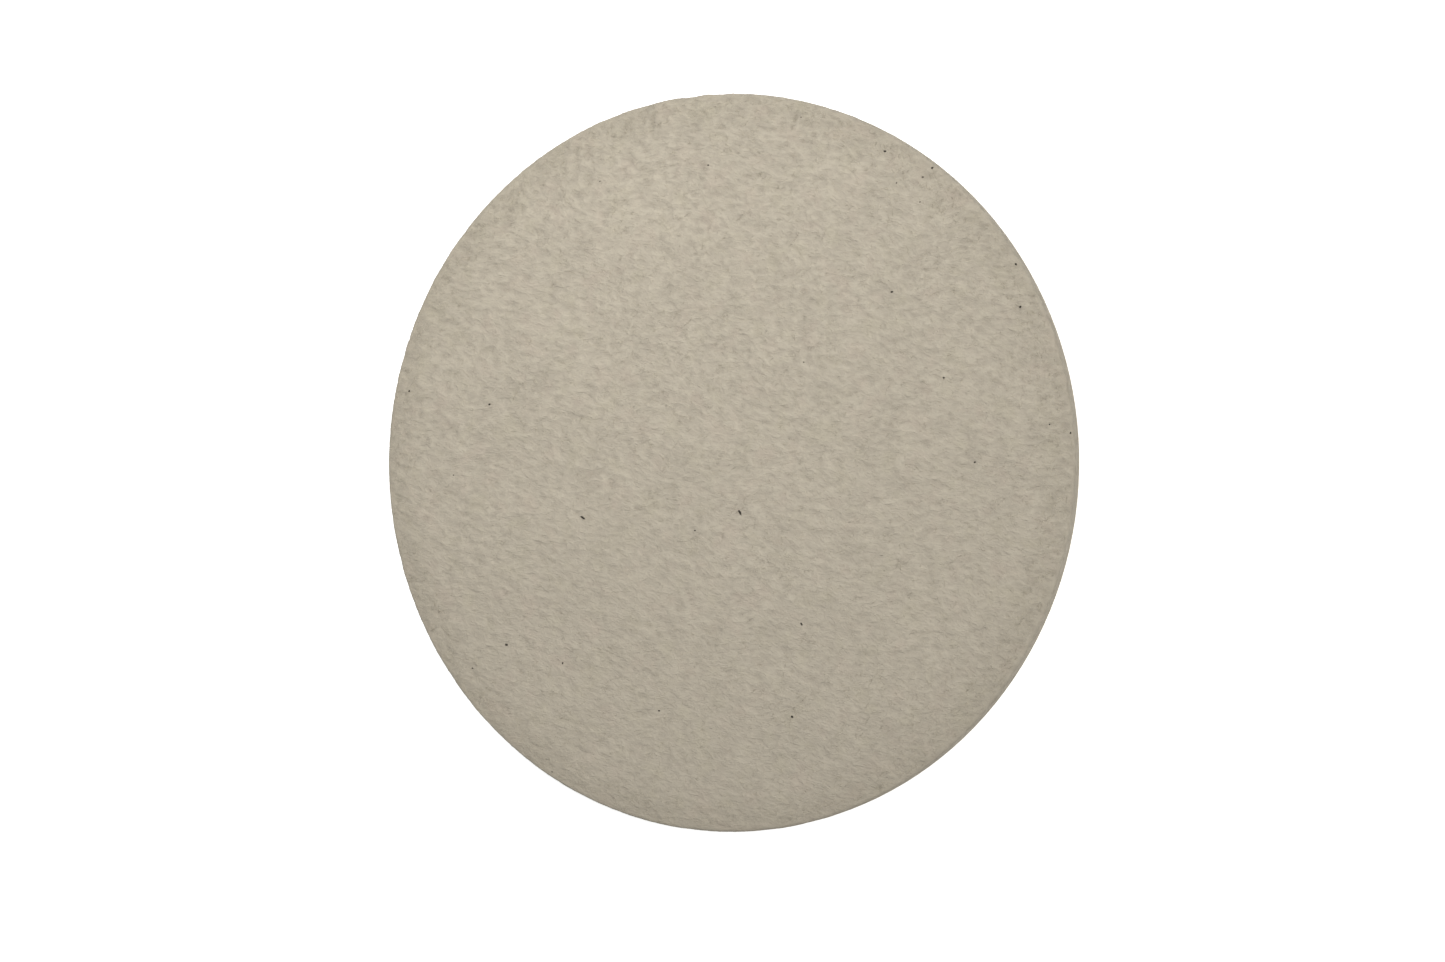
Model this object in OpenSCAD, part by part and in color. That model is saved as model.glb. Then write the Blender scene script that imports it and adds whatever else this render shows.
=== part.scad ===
// Self-adhesive felt polishing disc for a flat lap or a lapidary polishing head.
// It lies on its back with the polishing face up, and its origin is under its centre.
// Layers from the bottom: split paper liner, adhesive, film, adhesive, felt.

/* [Felt] */
// Diameter of the whole disc
disc_d = 152.4; // [100:0.1:305]
// Thickness of the felt in the middle
felt_t = 3.175; // [2:0.025:12.7]
// Width of the band inside the rim where the face rolls over
shoulder_w = 6; // [3:0.5:15]
// How far the face has dropped where it meets the cut side
shoulder_drop = 0.8; // [0.3:0.1:1.5]

/* [Double-sided tape] */
// Thickness of the adhesive that grips the felt
felt_glue_t = 0.08; // [0.04:0.01:0.15]
// Thickness of the polyester film in the middle of the tape
film_t = 0.03; // [0.02:0.005:0.1]
// Thickness of the adhesive that grips the machine's plate
plate_glue_t = 0.05; // [0.03:0.01:0.15]

/* [Release liner] */
// Thickness of the siliconised paper
liner_t = 0.12; // [0.08:0.01:0.25]
// Width of the slit that parts the paper across the middle
slit_w = 0.3; // [0.1:0.05:1]

/* [Hidden] */
$fn = 240;

disc_r = disc_d / 2;

// Height of the underside of each layer, the liner lying on zero
plate_glue_z = liner_t;
film_z = plate_glue_z + plate_glue_t;
felt_glue_z = film_z + film_t;
felt_z = felt_glue_z + felt_glue_t;

// Radius of the arc that falls by shoulder_drop over shoulder_w, level where it starts
shoulder_r = (shoulder_w * shoulder_w + shoulder_drop * shoulder_drop) / (2 * shoulder_drop);

// Half of the felt's cross-section: a flat middle and a rolled shoulder
module felt_section() {
    face_r = disc_r - shoulder_w;
    square([face_r, felt_t]);
    intersection() {
        translate([face_r, 0]) square([shoulder_w, felt_t]);
        translate([face_r, felt_t - shoulder_r]) circle(r = shoulder_r);
    }
}

// A layer of the disc that goes right across, cut by the same die as the felt
module full_layer(bottom, thickness) {
    translate([0, 0, bottom]) cylinder(r = disc_r, h = thickness);
}

// Half of the paper liner, on the side of the slit that side names: -1 left, 1 right
module liner_half(side) {
    intersection() {
        full_layer(0, liner_t);
        translate([side > 0 ? slit_w / 2 : -disc_d, -disc_d, -liner_t])
            cube([disc_d - (side > 0 ? 0 : slit_w / 2), 2 * disc_d, 3 * liner_t]);
    }
}

module felt_disc() {
    color("#b8ae9b") translate([0, 0, felt_z]) rotate_extrude() felt_section();
}

module felt_side_adhesive() {
    color("#e4d9b4") full_layer(felt_glue_z, felt_glue_t);
}

module tape_film() {
    color("#dfe4e6") full_layer(film_z, film_t);
}

module plate_side_adhesive() {
    color("#e9dfbe") full_layer(plate_glue_z, plate_glue_t);
}

module release_liner_left() {
    color("#e6dcc4") liner_half(-1);
}

module release_liner_right() {
    color("#e6dcc4") liner_half(1);
}

felt_disc();
felt_side_adhesive();
tape_film();
plate_side_adhesive();
release_liner_left();
release_liner_right();
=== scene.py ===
"""Dresses the felt polishing disc: pressed wool felt on an adhesive back with a split paper liner."""
import math

import bpy
import numpy as np
from mathutils import Euler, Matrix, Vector, noise


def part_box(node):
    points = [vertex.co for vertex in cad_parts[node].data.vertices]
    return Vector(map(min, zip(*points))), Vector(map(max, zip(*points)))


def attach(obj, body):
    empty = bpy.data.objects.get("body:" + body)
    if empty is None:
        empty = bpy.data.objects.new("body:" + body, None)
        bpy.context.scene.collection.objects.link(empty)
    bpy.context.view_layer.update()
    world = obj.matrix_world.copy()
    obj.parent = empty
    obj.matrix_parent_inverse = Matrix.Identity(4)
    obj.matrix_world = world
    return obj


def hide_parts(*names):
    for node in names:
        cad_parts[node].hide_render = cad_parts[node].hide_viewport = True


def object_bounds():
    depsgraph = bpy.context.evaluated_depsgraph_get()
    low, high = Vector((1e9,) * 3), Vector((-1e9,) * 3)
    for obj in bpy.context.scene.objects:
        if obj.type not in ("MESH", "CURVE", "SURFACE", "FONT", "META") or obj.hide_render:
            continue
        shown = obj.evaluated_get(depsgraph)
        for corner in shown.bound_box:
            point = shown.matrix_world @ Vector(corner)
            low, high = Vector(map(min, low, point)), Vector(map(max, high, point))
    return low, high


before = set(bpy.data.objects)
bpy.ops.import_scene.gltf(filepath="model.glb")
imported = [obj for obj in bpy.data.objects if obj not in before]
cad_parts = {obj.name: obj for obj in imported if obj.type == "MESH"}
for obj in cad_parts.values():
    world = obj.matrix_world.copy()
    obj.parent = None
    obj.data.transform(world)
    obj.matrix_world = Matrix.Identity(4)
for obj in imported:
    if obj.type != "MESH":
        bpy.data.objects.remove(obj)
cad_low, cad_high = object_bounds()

# The vector noise that sweeps the tufts starts from the same state on every run.
NOISE_SEED = 4
noise.seed_set(NOISE_SEED)

# ---- Sizes, in metres, worked out from the frame ----

MM = 0.001
felt_low, felt_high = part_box("felt_disc")
RIM = (felt_high.y - felt_low.y) / 2
FELT_TOP = felt_high.z
FELT_BASE = felt_low.z
FELT_THICK = FELT_TOP - FELT_BASE

# Towards the rim the face tips over slowly, then turns down into the cut side round a soft corner.
ROLL_ARC = 5.5 * MM
ROLL_TIP = math.radians(5.5)
CORNER_ARC = 0.85 * MM

# Pressed wool lies in flat tufts, longer along the way the sheet was carded than across it.
TUFT_LENGTH = 3.3 * MM
TUFT_WIDTH = 1.7 * MM
LAYER_THICK = 1.1 * MM
TUFT_HEIGHT = 0.19 * MM
STRAND_SHARE = 0.55
CREST_WEAR = 0.35
CARDING_TURN = math.radians(-11.5)
# The carding bows: it runs steeper on the left of the disc than on the right, by so much per metre.
CARDING_BOW = 1.2
# The tufts stand prouder towards the far edge, and are rubbed flatter towards the near one.
FAR_NAP = 1.35
NEAR_NAP = 0.62
# The die pressed the tufts nearly flat on the cut side.
CUT_NAP = 0.4
SWIRL_SIZE = 24 * MM
SWIRL_REACH = 3.0 * MM
CURL_SIZE = 4.5 * MM
CURL_REACH = 0.7 * MM

# Creases and thumb dents pressed into the felt, and one shallow nick in the cut edge:
# x, y, length, width and depth in mm, and turn in degrees.
DENTS = [
    (-14.6, 70.2, 5.2, 0.8, 0.5, 88), (-16, 73.7, 2.4, 1.1, 0.45, 10), (17, 70.3, 4.0, 0.8, 0.5, 69),
    (61, -18.5, 2.4, 1.1, 0.25, -10), (65, -20.5, 3.2, 1.1, 0.3, -40), (70, -22.5, 3.6, 1.5, 0.3, 10),
    (66.5, -26, 2.2, 1.1, 0.28, 0), (62.5, -25.5, 2.4, 1.0, 0.2, -20), (66, -31.5, 2.4, 1.1, 0.22, -25),
    (35, -66.3, 2.2, 1.0, 0.3, 50), (31, -68.5, 1.8, 0.9, 0.25, 30), (44.5, -61, 2.0, 1.0, 0.3, 45),
    (-6.6, 77.2, 4.6, 2.4, 0.55, -5),
]
# Painted shade: dents are coloured darker, as if they were hollows between tufts.
DENT_SHADE = 3.0 / MM


# ---- Meshes ----

def roll_profile():
    """Distance along the felt's skin from the centre, with the radius, height and tip there."""
    rolled = np.linspace(0, ROLL_ARC + CORNER_ARC, 68)
    tip = np.interp(rolled, [0, ROLL_ARC, ROLL_ARC + CORNER_ARC], [0, ROLL_TIP, math.pi / 2])
    step = np.diff(rolled)
    middle = (tip[1:] + tip[:-1]) / 2
    outward = np.concatenate([[0], np.cumsum(step * np.cos(middle))])
    downward = np.concatenate([[0], np.cumsum(step * np.sin(middle))])
    start = RIM - outward[-1]
    skin = np.concatenate([[0], start + rolled, [start + rolled[-1] + FELT_THICK - downward[-1]]])
    radius = np.concatenate([[0], start + outward, [RIM]])
    height = np.concatenate([[FELT_TOP], FELT_TOP - downward, [FELT_BASE]])
    return skin, radius, height, np.concatenate([[0], tip, [math.pi / 2]])


SKIN, SKIN_RADIUS, SKIN_HEIGHT, SKIN_TIP = roll_profile()
ROLL_START = SKIN[1]
WALL_START = SKIN[-2]
SKIN_END = SKIN[-1]


def tuft_height(spot):
    """Height of the tufts at a spot: lumps and the strands over them, swept along the carding."""
    swirled = spot + noise.noise_vector(spot / SWIRL_SIZE) * SWIRL_REACH
    swirled = swirled + noise.noise_vector(spot / CURL_SIZE) * CURL_REACH
    swirled.y -= CARDING_BOW * spot.x * spot.x
    swirled.rotate(Euler((0, 0, -CARDING_TURN)))
    grain = Vector((swirled.x / TUFT_LENGTH, swirled.y / TUFT_WIDTH, swirled.z / LAYER_THICK))
    lump = noise.fractal(grain, 0.6, 2.1, 2)
    strand = 0.5 - 2 * abs(noise.noise(grain * 1.6 + Vector((7, 3, 1))))
    nap = NEAR_NAP + (FAR_NAP - NEAR_NAP) * (spot.y + RIM) / (2 * RIM)
    return nap * (lump - CREST_WEAR * lump * lump + STRAND_SHARE * strand)


def dent_depth(spot):
    """Depth of the dents at a spot, in metres."""
    total = 0.0
    for x, y, length, width, depth, turn in DENTS:
        away = Vector((spot.x - x * MM, spot.y - y * MM, 0))
        away.rotate(Euler((0, 0, -math.radians(turn))))
        away = away / MM
        total += depth * MM * math.exp(-4 * ((away.x / length) ** 2 + (away.y / width) ** 2))
    return total


def on_felt(flat_x, flat_y, lift=0.0):
    """Points and tuft heights of the felt's skin, from places on the skin as if laid out flat."""
    skin = np.hypot(flat_x, flat_y)
    around = np.arctan2(flat_y, flat_x)
    radius = np.interp(skin, SKIN, SKIN_RADIUS)
    tip = np.interp(skin, SKIN, SKIN_TIP)
    across = np.stack([np.cos(around), np.sin(around)], -1)
    bare = np.concatenate([across * radius[..., None], np.interp(skin, SKIN, SKIN_HEIGHT)[..., None]], -1)
    normal = np.concatenate([across * np.sin(tip)[..., None], np.cos(tip)[..., None]], -1)
    spots = [Vector(spot) for spot in bare.reshape(-1, 3)]
    tufts = np.array([tuft_height(spot) for spot in spots]).reshape(skin.shape)
    dents = np.array([dent_depth(spot) for spot in spots]).reshape(skin.shape)
    held = np.clip((SKIN_END - skin) / (0.3 * MM), 0, 1)
    uncut = np.interp(skin, [WALL_START - 2 * CORNER_ARC, WALL_START - CORNER_ARC], [1, CUT_NAP])
    rise = (tufts * uncut * TUFT_HEIGHT - dents) * held + lift
    # The third value, tuft height less the scaled dent depth, sets the painted shade of hollows and dents in the
    # felt's colour.
    return bare + normal * rise[..., None], normal, tufts - DENT_SHADE * dents


def new_mesh(name, points, faces, smooth=True):
    """A mesh object from arrays of points and faces."""
    mesh = bpy.data.meshes.new(name)
    mesh.from_pydata([tuple(point) for point in points], [], faces)
    mesh.polygons.foreach_set("use_smooth", [smooth] * len(mesh.polygons))
    made = bpy.data.objects.new(name, mesh)
    bpy.context.scene.collection.objects.link(made)
    return made


def round_from_square(across, along):
    """Shirley's map of the square from -1 to 1 onto the unit disc, which spreads points evenly."""
    wide = np.abs(across) > np.abs(along)
    reach = np.where(wide, across, along)
    safe = np.where(reach == 0, 1, reach)
    turn = np.where(wide, math.pi / 4 * along / safe, math.pi / 2 - math.pi / 4 * across / safe)
    return reach * np.cos(turn), reach * np.sin(turn)


FELT_CELLS = 312
RIM_CROWDING = 0.065
RIM_POWER = 8


def felt_body():
    """The felt in one skin: the tufted face, the rolled edge and the cut side, closed underneath."""
    ticks = np.linspace(-1, 1, FELT_CELLS + 1)
    unit_x, unit_y = round_from_square(*np.meshgrid(ticks, ticks, indexing="ij"))
    reach = np.hypot(unit_x, unit_y)
    crowded = SKIN_END * (1 + RIM_CROWDING * (1 - np.minimum(reach, 1) ** RIM_POWER))
    points, _, tufts = on_felt(unit_x * crowded, unit_y * crowded)
    side = FELT_CELLS + 1
    faces = []
    for i in range(FELT_CELLS):
        for j in range(FELT_CELLS):
            corner = i * side + j
            faces.append((corner, corner + side, corner + side + 1, corner + 1))
    near = [i * side for i in range(side)]
    right = [FELT_CELLS * side + j for j in range(1, side)]
    far = [i * side + FELT_CELLS for i in range(FELT_CELLS - 1, -1, -1)]
    left = list(range(FELT_CELLS - 1, 0, -1))
    faces.append(tuple(reversed(near + right + far + left)))
    made = new_mesh("felt_body", points.reshape(-1, 3), faces)
    # The tuft attribute feeds the felt's painted shade of hollows and dents.
    made.data.attributes.new("tuft", "FLOAT", "POINT").data.foreach_set("value", tufts.reshape(-1))
    return made


def wool_fibres(name, seed, count, steps, length, thick, inner, outer, round_rim=False):
    """Loose wool fibres that lie on the skin between two distances from the centre, ends sunk in."""
    draw = np.random.default_rng(seed)
    start = np.sqrt(draw.uniform(inner ** 2, outer ** 2, count))
    around = draw.uniform(0, 2 * math.pi, count)
    heading = around + math.pi / 2 if round_rim else CARDING_TURN
    heading = heading + draw.normal(0, 0.5, count) + math.pi * draw.integers(0, 2, count)
    bend = draw.normal(0, 0.16, count)
    stride = length * draw.uniform(0.6, 1.4, count) / steps
    flat = [np.stack([start * np.cos(around), start * np.sin(around)], -1)]
    for _ in range(steps):
        heading = heading + bend + draw.normal(0, 0.12, count)
        flat.append(flat[-1] + np.stack([np.cos(heading), np.sin(heading)], -1) * stride[:, None])
    flat = np.stack(flat, 1)
    flat = flat[np.hypot(flat[..., 0], flat[..., 1]).max(1) < outer]
    arch = np.sin(np.linspace(0, math.pi, steps + 1))
    lift = arch * draw.uniform(0.3, 1.1, len(flat))[:, None] * thick - 0.6 * thick
    path, normal, _ = on_felt(flat[..., 0], flat[..., 1], lift)
    ahead = np.gradient(path, axis=1)
    aside = np.cross(ahead, normal)
    aside /= np.linalg.norm(aside, axis=-1, keepdims=True)
    rings = [path + thick / 2 * (math.cos(a) * normal + math.sin(a) * aside)
             for a in (0, 2 * math.pi / 3, 4 * math.pi / 3)]
    points = np.stack(rings, 2).reshape(-1, 3)
    faces = []
    for fibre in range(len(flat)):
        first = fibre * (steps + 1) * 3
        for step in range(steps):
            a = first + step * 3
            for k in range(3):
                n = (k + 1) % 3
                faces.append((a + k, a + n, a + 3 + n, a + 3 + k))
        last = first + steps * 3
        faces.append((first + 2, first + 1, first))
        faces.append((last, last + 1, last + 2))
    return new_mesh(name, points, faces)


# Bits of burr and grass seed left in the wool: x, y, length, width in mm, and turn in degrees.
BURRS = [
    (-30.3, -11.5, 1.15, 0.40, -30), (5, -10.3, 1.1, 0.42, -62), (65, 31, 0.55, 0.4, 40),
    (-48, -38.4, 0.6, 0.42, -20), (16.5, -52, 0.5, 0.36, -40), (38, 34.5, 0.5, 0.32, 10),
    (-52, 12.5, 0.5, 0.38, 15), (18.5, -33, 0.6, 0.34, -70), (-2, 61.5, 0.36, 0.26, 0),
    (46.5, 59.3, 0.46, 0.36, 30), (44.5, 57.5, 0.4, 0.3, 0), (64, 39.5, 0.5, 0.36, -50),
    (-71, 15.5, 0.42, 0.34, 60), (55.5, 0, 0.44, 0.28, 20), (-35, -42, 0.46, 0.3, 70),
    (-13, -51.5, 0.4, 0.3, 0), (75.3, 5.8, 0.4, 0.28, 80), (-60.5, -2.5, 0.32, 0.24, 0),
    (36.5, 63, 0.5, 0.36, 0), (-26.5, 59, 0.34, 0.24, 30), (49, 17, 0.44, 0.32, 0),
    (-5, -14, 0.42, 0.2, -10), (-56, -43.5, 0.42, 0.3, 0), (39, 56.5, 0.3, 0.22, 0),
    (44, 52.5, 0.3, 0.22, 40), (19, 20.5, 0.3, 0.2, 0), (71, 7.5, 0.32, 0.24, 0),
    (-37.5, -65, 0.3, 0.22, 0), (18.4, 70.6, 0.3, 0.2, 0),
]
BURR_RINGS = 5
BURR_SIDES = 7
BURR_SPREAD = 1.2


def plant_specks():
    """Flattened spindles, half sunk in the face."""
    points, faces = [], []
    for x, y, length, width, turn in BURRS:
        centre, normal, _ = on_felt(np.array([x * MM]), np.array([y * MM]))
        centre, normal = Vector(centre[0]), Vector(normal[0])
        along = Vector((math.cos(math.radians(turn)), math.sin(math.radians(turn)), 0))
        across = normal.cross(along).normalized()
        along = across.cross(normal)
        first = len(points)
        for ring in range(BURR_RINGS + 1):
            t = -1 + 2 * ring / BURR_RINGS
            girth = max(0.12, math.sqrt(1 - t * t) * (1 - 0.25 * t))
            for side in range(BURR_SIDES):
                a = 2 * math.pi * side / BURR_SIDES
                lump = 1 + 0.25 * noise.noise(Vector((x + t, y + a, side)))
                points.append(centre + BURR_SPREAD * (along * t * length + across * math.cos(a) * width * girth * lump
                                        + normal * math.sin(a) * width * girth * 0.45) * MM / 2)
        for ring in range(BURR_RINGS):
            for side in range(BURR_SIDES):
                a = first + ring * BURR_SIDES + side
                b = first + ring * BURR_SIDES + (side + 1) % BURR_SIDES
                faces.append((a, b, b + BURR_SIDES, a + BURR_SIDES))
        last = first + BURR_RINGS * BURR_SIDES
        faces.append(tuple(range(first + BURR_SIDES - 1, first - 1, -1)))
        faces.append(tuple(range(last, last + BURR_SIDES)))
    return new_mesh("plant_specks", points, faces)


# ---- Materials ----

def linear(code):
    """An sRGB hex colour as linear RGBA."""
    shares = [int(code[i:i + 2], 16) / 255 for i in (1, 3, 5)]
    return [s / 12.92 if s <= 0.04045 else ((s + 0.055) / 1.055) ** 2.4 for s in shares] + [1]


def new_material(name):
    """An empty node material: its tree."""
    made = bpy.data.materials.new(name)
    made.use_nodes = True
    made.node_tree.nodes.clear()
    return made.node_tree


def add(tree, kind, inputs=None, **settings):
    """Add a node. inputs gives sockets, by name or number, a value or the socket that feeds them."""
    made = tree.nodes.new("ShaderNode" + kind)
    for name, value in settings.items():
        setattr(made, name, value)
    for name, value in (inputs or {}).items():
        if isinstance(value, bpy.types.NodeSocket):
            tree.links.new(value, made.inputs[name])
        else:
            made.inputs[name].default_value = value
    return made


def finish_material(tree, shader):
    add(tree, "OutputMaterial", {"Surface": shader.outputs[0]})
    return next(m for m in bpy.data.materials if m.node_tree == tree)


def pressed_wool_felt():
    """Undyed wool, carded, felted and pressed hard: matt, mottled by its tufts, finely hairy."""
    tree = new_material("pressed_wool_felt")
    place = add(tree, "TexCoord").outputs["Object"]
    swirl = add(tree, "TexNoise", {"Vector": place, "Scale": 1 / SWIRL_SIZE, "Detail": 1.0})
    swept = add(tree, "VectorMath", {0: swirl.outputs["Color"], 1: (2 * SWIRL_REACH,) * 3, 2: place},
                operation="MULTIPLY_ADD")
    turned = add(tree, "Mapping", {"Vector": swept.outputs[0], "Rotation": (0, 0, -CARDING_TURN)})
    grain = add(tree, "VectorMath", {0: turned.outputs[0], 1: (0.55, 1, 1)}, operation="MULTIPLY")
    # Fibre bundles about 0.5 mm across, and single fibres drawn 0.2 mm wide so that they show.
    bundles = add(tree, "TexNoise", {"Vector": grain.outputs[0], "Scale": 1 / (1.1 * MM), "Detail": 3.0,
                                     "Roughness": 0.7, "Distortion": 0.4})
    fibres = add(tree, "TexNoise", {"Vector": grain.outputs[0], "Scale": 1 / (0.35 * MM), "Detail": 2.0,
                                    "Roughness": 0.6})
    # The cut side shows the batts of wool that were laid one on another, drawn 0.6 mm thick.
    flat = add(tree, "VectorMath", {0: place, 1: (1, 1, 0)}, operation="MULTIPLY")
    out = add(tree, "VectorMath", {0: flat.outputs[0]}, operation="LENGTH")
    side = add(tree, "MapRange", {"Value": out.outputs["Value"], "From Min": 0.985 * RIM, "From Max": RIM})
    pressed = add(tree, "VectorMath", {0: place, 1: (0.3, 0.3, 1)}, operation="MULTIPLY")
    batts = add(tree, "TexNoise", {"Vector": pressed.outputs[0], "Scale": 1 / (0.6 * MM), "Detail": 4.0,
                                   "Roughness": 0.7})
    lie = add(tree, "Mix", {0: side.outputs[0], 2: bundles.outputs["Fac"], 3: batts.outputs["Fac"]})
    tuft = add(tree, "Attribute", attribute_name="tuft")
    # Painted shade: hollows between tufts are coloured darker than their crests, for the shade in them and some dust.
    hollow_shade = add(tree, "MapRange", {"Value": tuft.outputs["Fac"], "From Min": -0.7, "From Max": 0.9})
    wool = add(tree, "Mix", {0: hollow_shade.outputs[0], 6: linear("#aca494"), 7: linear("#c1b8a6")},
               data_type="RGBA")
    streak = add(tree, "MapRange", {"Value": lie.outputs[0], "From Min": 0.36, "From Max": 0.64,
                                    "To Min": -0.5, "To Max": 0.5})
    parts = add(tree, "SeparateXYZ", {0: place})
    nap = add(tree, "MapRange", {"Value": parts.outputs["Y"], "From Min": -RIM, "From Max": RIM,
                                 "To Min": NEAR_NAP, "To Max": FAR_NAP})
    streak = add(tree, "Math", {0: streak.outputs[0], 1: nap.outputs[0], 2: 0.5}, operation="MULTIPLY_ADD")
    streaked = add(tree, "Mix", {0: streak.outputs[0], 6: linear("#aba192"), 7: linear("#c3baa8")},
                   data_type="RGBA")
    both = add(tree, "Mix", {0: 0.5, 6: wool.outputs[2], 7: streaked.outputs[2]}, data_type="RGBA")
    # The sheet is a little paler where more wool was laid, in patches about 8 mm across.
    cloud = add(tree, "TexNoise", {"Vector": place, "Scale": 1 / (8 * MM), "Detail": 1.0})
    laid = add(tree, "MapRange", {"Value": cloud.outputs["Fac"], "From Min": 0.3, "From Max": 0.7,
                                  "To Min": 0.98, "To Max": 1.02})
    both = add(tree, "VectorMath", {0: both.outputs[2], "Scale": laid.outputs[0]}, operation="SCALE")
    # Faint flecks of pinker and greener wool, a few millimetres across.
    fleck = add(tree, "TexNoise", {"Vector": place, "Scale": 1 / (5 * MM), "Detail": 1.0})
    pink = add(tree, "MapRange", {"Value": fleck.outputs["Fac"], "From Min": 0.56, "From Max": 0.74,
                                  "To Max": 0.12})
    pinked = add(tree, "Mix", {0: pink.outputs[0], 6: both.outputs[0], 7: linear("#bfa99b")},
                 data_type="RGBA")
    green = add(tree, "MapRange", {"Value": fleck.outputs["Fac"], "From Min": 0.44, "From Max": 0.26,
                                   "To Max": 0.12})
    flecked = add(tree, "Mix", {0: green.outputs[0], 6: pinked.outputs[2], 7: linear("#b3ad8f")},
                  data_type="RGBA")
    # Painted shade: the colour greys a little towards the rim, for the shade at the edge and some handling wear, so
    # the edge is a little greyer than the face.
    rim_shade_and_wear = add(tree, "MapRange", {"Value": out.outputs["Value"], "From Min": 0.86 * RIM,
                                  "From Max": 1.01 * RIM}, interpolation_type="SMOOTHSTEP")
    rim_shaded_and_worn = add(tree, "Mix", {0: rim_shade_and_wear.outputs[0], 6: flecked.outputs[2], 7: (0.915, 0.915, 0.91, 1)},
                  data_type="RGBA", blend_type="MULTIPLY")
    rough = add(tree, "Bump", {"Height": lie.outputs[0], "Strength": 1.0, "Distance": 0.43 * MM})
    hairy = add(tree, "Bump", {"Height": fibres.outputs["Fac"], "Strength": 0.8, "Distance": 0.09 * MM,
                               "Normal": rough.outputs[0]})
    shader = add(tree, "BsdfPrincipled", {
        "Base Color": rim_shaded_and_worn.outputs[2], "Roughness": 0.95, "IOR": 1.5, "Specular IOR Level": 0.2,
        "Sheen Weight": 0.12, "Sheen Roughness": 0.6, "Normal": hairy.outputs[0]})
    return finish_material(tree, shader)


def wool_fibre():
    """Single wool fibres: painted paler than the felt to stand for the light on fibres that nothing shades, with a
    slight lustre.
    """
    tree = new_material("wool_fibre")
    place = add(tree, "TexCoord").outputs["Object"]
    lot = add(tree, "TexNoise", {"Vector": place, "Scale": 1 / (3 * MM), "Detail": 1.0})
    tone = add(tree, "Mix", {0: lot.outputs["Fac"], 6: linear("#ada48f"), 7: linear("#cfc7b7")},
               data_type="RGBA")
    shader = add(tree, "BsdfPrincipled", {
        "Base Color": tone.outputs[2], "Roughness": 0.7, "IOR": 1.55, "Specular IOR Level": 0.3,
        "Sheen Weight": 0.1})
    return finish_material(tree, shader)


def dried_burr():
    """Dried plant scraps: nearly black brown, a little woody."""
    tree = new_material("dried_burr")
    place = add(tree, "TexCoord").outputs["Object"]
    grain = add(tree, "TexNoise", {"Vector": place, "Scale": 1 / (0.3 * MM), "Detail": 2.0})
    tone = add(tree, "Mix", {0: grain.outputs["Fac"], 6: linear("#15110a"), 7: linear("#2f2718")},
               data_type="RGBA")
    shader = add(tree, "BsdfPrincipled", {"Base Color": tone.outputs[2], "Roughness": 0.75})
    return finish_material(tree, shader)


def acrylic_adhesive():
    """Pressure-sensitive acrylic: straw-yellow, wet-looking, rippled where the paper came away."""
    tree = new_material("acrylic_adhesive")
    place = add(tree, "TexCoord").outputs["Object"]
    ripple = add(tree, "TexNoise", {"Vector": place, "Scale": 1 / (4 * MM), "Detail": 3.0})
    tone = add(tree, "Mix", {0: ripple.outputs["Fac"], 6: linear("#d9caa0"), 7: linear("#e9dfc0")},
               data_type="RGBA")
    bump = add(tree, "Bump", {"Height": ripple.outputs["Fac"], "Strength": 0.3, "Distance": 0.1 * MM})
    shader = add(tree, "BsdfPrincipled", {"Base Color": tone.outputs[2], "Roughness": 0.22, "IOR": 1.47,
                                          "Normal": bump.outputs[0]})
    return finish_material(tree, shader)


def polyester_film():
    """Clear PET seen on edge: a cool grey line with a smooth shine."""
    tree = new_material("polyester_film")
    place = add(tree, "TexCoord").outputs["Object"]
    haze = add(tree, "TexNoise", {"Vector": place, "Scale": 1 / (9 * MM), "Detail": 1.0})
    tone = add(tree, "Mix", {0: haze.outputs["Fac"], 6: linear("#d3d9dc"), 7: linear("#e2e6e8")},
               data_type="RGBA")
    shader = add(tree, "BsdfPrincipled", {"Base Color": tone.outputs[2], "Roughness": 0.12, "IOR": 1.58})
    return finish_material(tree, shader)


def siliconised_kraft():
    """Bleached kraft paper with a silicone coat: pale buff, faintly mottled fibre, a soft sheen."""
    tree = new_material("siliconised_kraft")
    place = add(tree, "TexCoord").outputs["Object"]
    pulp = add(tree, "TexNoise", {"Vector": place, "Scale": 1 / (1.6 * MM), "Detail": 4.0,
                                  "Roughness": 0.65})
    cloud = add(tree, "TexNoise", {"Vector": place, "Scale": 1 / (12 * MM), "Detail": 2.0})
    flock = add(tree, "MapRange", {"Value": pulp.outputs["Fac"], "From Min": 0.3, "From Max": 0.7})
    tone = add(tree, "Mix", {0: flock.outputs[0], 6: linear("#e3d9bf"), 7: linear("#eee6d2")},
               data_type="RGBA")
    dull = add(tree, "Mix", {0: cloud.outputs["Fac"], 6: linear("#e1d6ba"), 7: linear("#ebe3ce")},
               data_type="RGBA")
    both = add(tree, "Mix", {0: 0.4, 6: tone.outputs[2], 7: dull.outputs[2]}, data_type="RGBA")
    bump = add(tree, "Bump", {"Height": pulp.outputs["Fac"], "Strength": 0.2, "Distance": 0.05 * MM})
    shader = add(tree, "BsdfPrincipled", {"Base Color": both.outputs[2], "Roughness": 0.42, "IOR": 1.45,
                                          "Normal": bump.outputs[0]})
    return finish_material(tree, shader)


FLOOR_GLOW = 0.72


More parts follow.
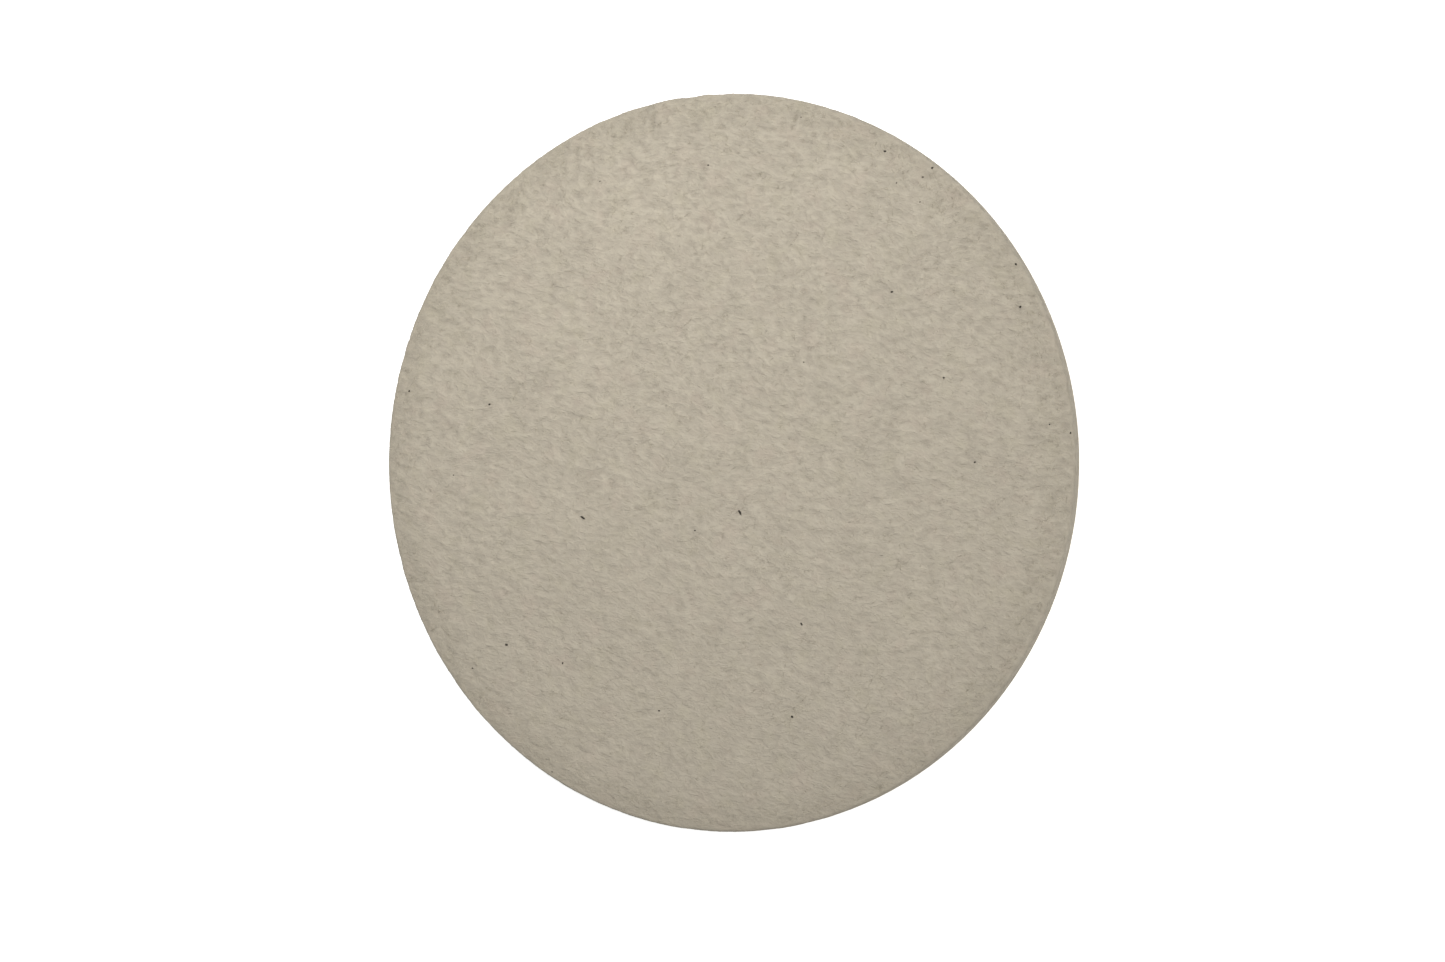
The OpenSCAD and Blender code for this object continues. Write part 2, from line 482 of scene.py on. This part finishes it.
def white_sweep():
    """Photographer's white card. It takes shadows, and what looks straight at it sees it as white."""
    tree = new_material("white_sweep")
    rays = add(tree, "LightPath").outputs
    seen = add(tree, "Math", {0: rays["Is Camera Ray"], 1: rays["Is Glossy Ray"]}, operation="ADD")
    seen = add(tree, "Math", {0: seen.outputs[0], 1: rays["Is Transmission Ray"]}, operation="ADD")
    glow = add(tree, "Math", {0: seen.outputs[0], 1: FLOOR_GLOW}, operation="MULTIPLY")
    card = add(tree, "BsdfDiffuse", {"Color": linear("#f6f6f6")})
    light = add(tree, "Emission", {"Strength": glow.outputs[0]})
    return finish_material(tree, add(tree, "AddShader", {0: card.outputs[0], 1: light.outputs[0]}))


# ---- The pieces ----

felt_finish, fibre_finish = pressed_wool_felt(), wool_fibre()

body = felt_body()
body.data.materials.append(felt_finish)
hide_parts("felt_disc")
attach(body, "pad")

FIBRES = {
    "long_face_fibres": dict(seed=3, count=3600, steps=6, length=6 * MM, thick=0.045 * MM,
                             inner=0, outer=WALL_START),
    "short_face_fibres": dict(seed=5, count=9000, steps=3, length=2.6 * MM, thick=0.06 * MM,
                              inner=0, outer=WALL_START),
    "edge_fibres": dict(seed=8, count=6500, steps=4, length=3 * MM, thick=0.05 * MM,
                        inner=ROLL_START, outer=SKIN_END, round_rim=True),
}
for name, lie in FIBRES.items():
    fibres = wool_fibres(name, **lie)
    fibres.data.materials.append(fibre_finish)
    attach(fibres, "pad")

specks = plant_specks()
specks.data.materials.append(dried_burr())
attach(specks, "pad")

CAD_FINISHES = {
    "felt_side_adhesive": acrylic_adhesive(),
    "tape_film": polyester_film(),
    "release_liner_left": siliconised_kraft(),
}
CAD_FINISHES["plate_side_adhesive"] = CAD_FINISHES["felt_side_adhesive"]
CAD_FINISHES["release_liner_right"] = CAD_FINISHES["release_liner_left"]
for node, finish in CAD_FINISHES.items():
    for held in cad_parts[node].material_slots:
        held.material = finish

# ---- Floor, light and camera ----

FLOOR_SIDE = 12.0
corner = FLOOR_SIDE / 2
floor = new_mesh("floor", [(-corner, -corner, 0), (corner, -corner, 0), (corner, corner, 0),
                           (-corner, corner, 0)], [(0, 1, 2, 3)], smooth=False)
floor.data.materials.append(white_sweep())

CENTRE = Vector((0, 0, (cad_low.z + cad_high.z) / 2))


def softbox(name, place, side, power):
    """A square lamp that faces the disc."""
    lamp = bpy.data.lights.new(name, "AREA")
    lamp.size = side
    lamp.energy = power
    made = bpy.data.objects.new(name, lamp)
    made.location = place
    made.visible_camera = False
    made.rotation_mode = "QUATERNION"
    made.rotation_quaternion = (CENTRE - Vector(place)).to_track_quat("-Z", "Y")
    bpy.context.scene.collection.objects.link(made)


# The key hangs over the far side, so that edge is a little brighter than the near one.
softbox("key_softbox", (-0.045, 0.13, 0.26), 0.14, 0.545)
softbox("fill_softbox", (0.7, 0.0, 0.4), 0.5, 2.6)

WORLD_LIGHT = 0.30
world = bpy.data.worlds.new("studio")
bpy.context.scene.world = world
world.use_nodes = True
world.node_tree.nodes.clear()
rays = add(world.node_tree, "LightPath").outputs
seen = add(world.node_tree, "Math", {0: rays["Is Camera Ray"], 1: rays["Is Glossy Ray"]}, operation="ADD")
strength = add(world.node_tree, "MapRange", {"Value": seen.outputs[0], "To Min": WORLD_LIGHT, "To Max": 1})
sky = add(world.node_tree, "Background", {"Color": (1, 1, 1, 1), "Strength": strength.outputs[0]})
add(world.node_tree, "OutputWorld", {"Surface": sky.outputs[0]})

# The camera looks down on the disc, tipped towards its right side, with +Y up in the picture.
TIP = math.radians(21.6)
LENS = 85.0
SENSOR = 36.0
VIEW_WIDTH = 298.9 * MM
AIM_ASIDE = (0.42 * MM, -3.76 * MM)
camera_data = bpy.data.cameras.new("camera")
camera_data.lens = LENS
camera_data.sensor_width = SENSOR
camera_data.clip_start = 0.01
camera_data.clip_end = 20
camera = bpy.data.objects.new("camera", camera_data)
camera.rotation_euler = (0, TIP, 0)
picture = camera.rotation_euler.to_matrix()
distance = VIEW_WIDTH * LENS / SENSOR
camera.location = CENTRE + picture @ Vector((*AIM_ASIDE, distance))
bpy.context.scene.collection.objects.link(camera)
bpy.context.scene.camera = camera
bpy.context.scene.view_settings.view_transform = "Standard"
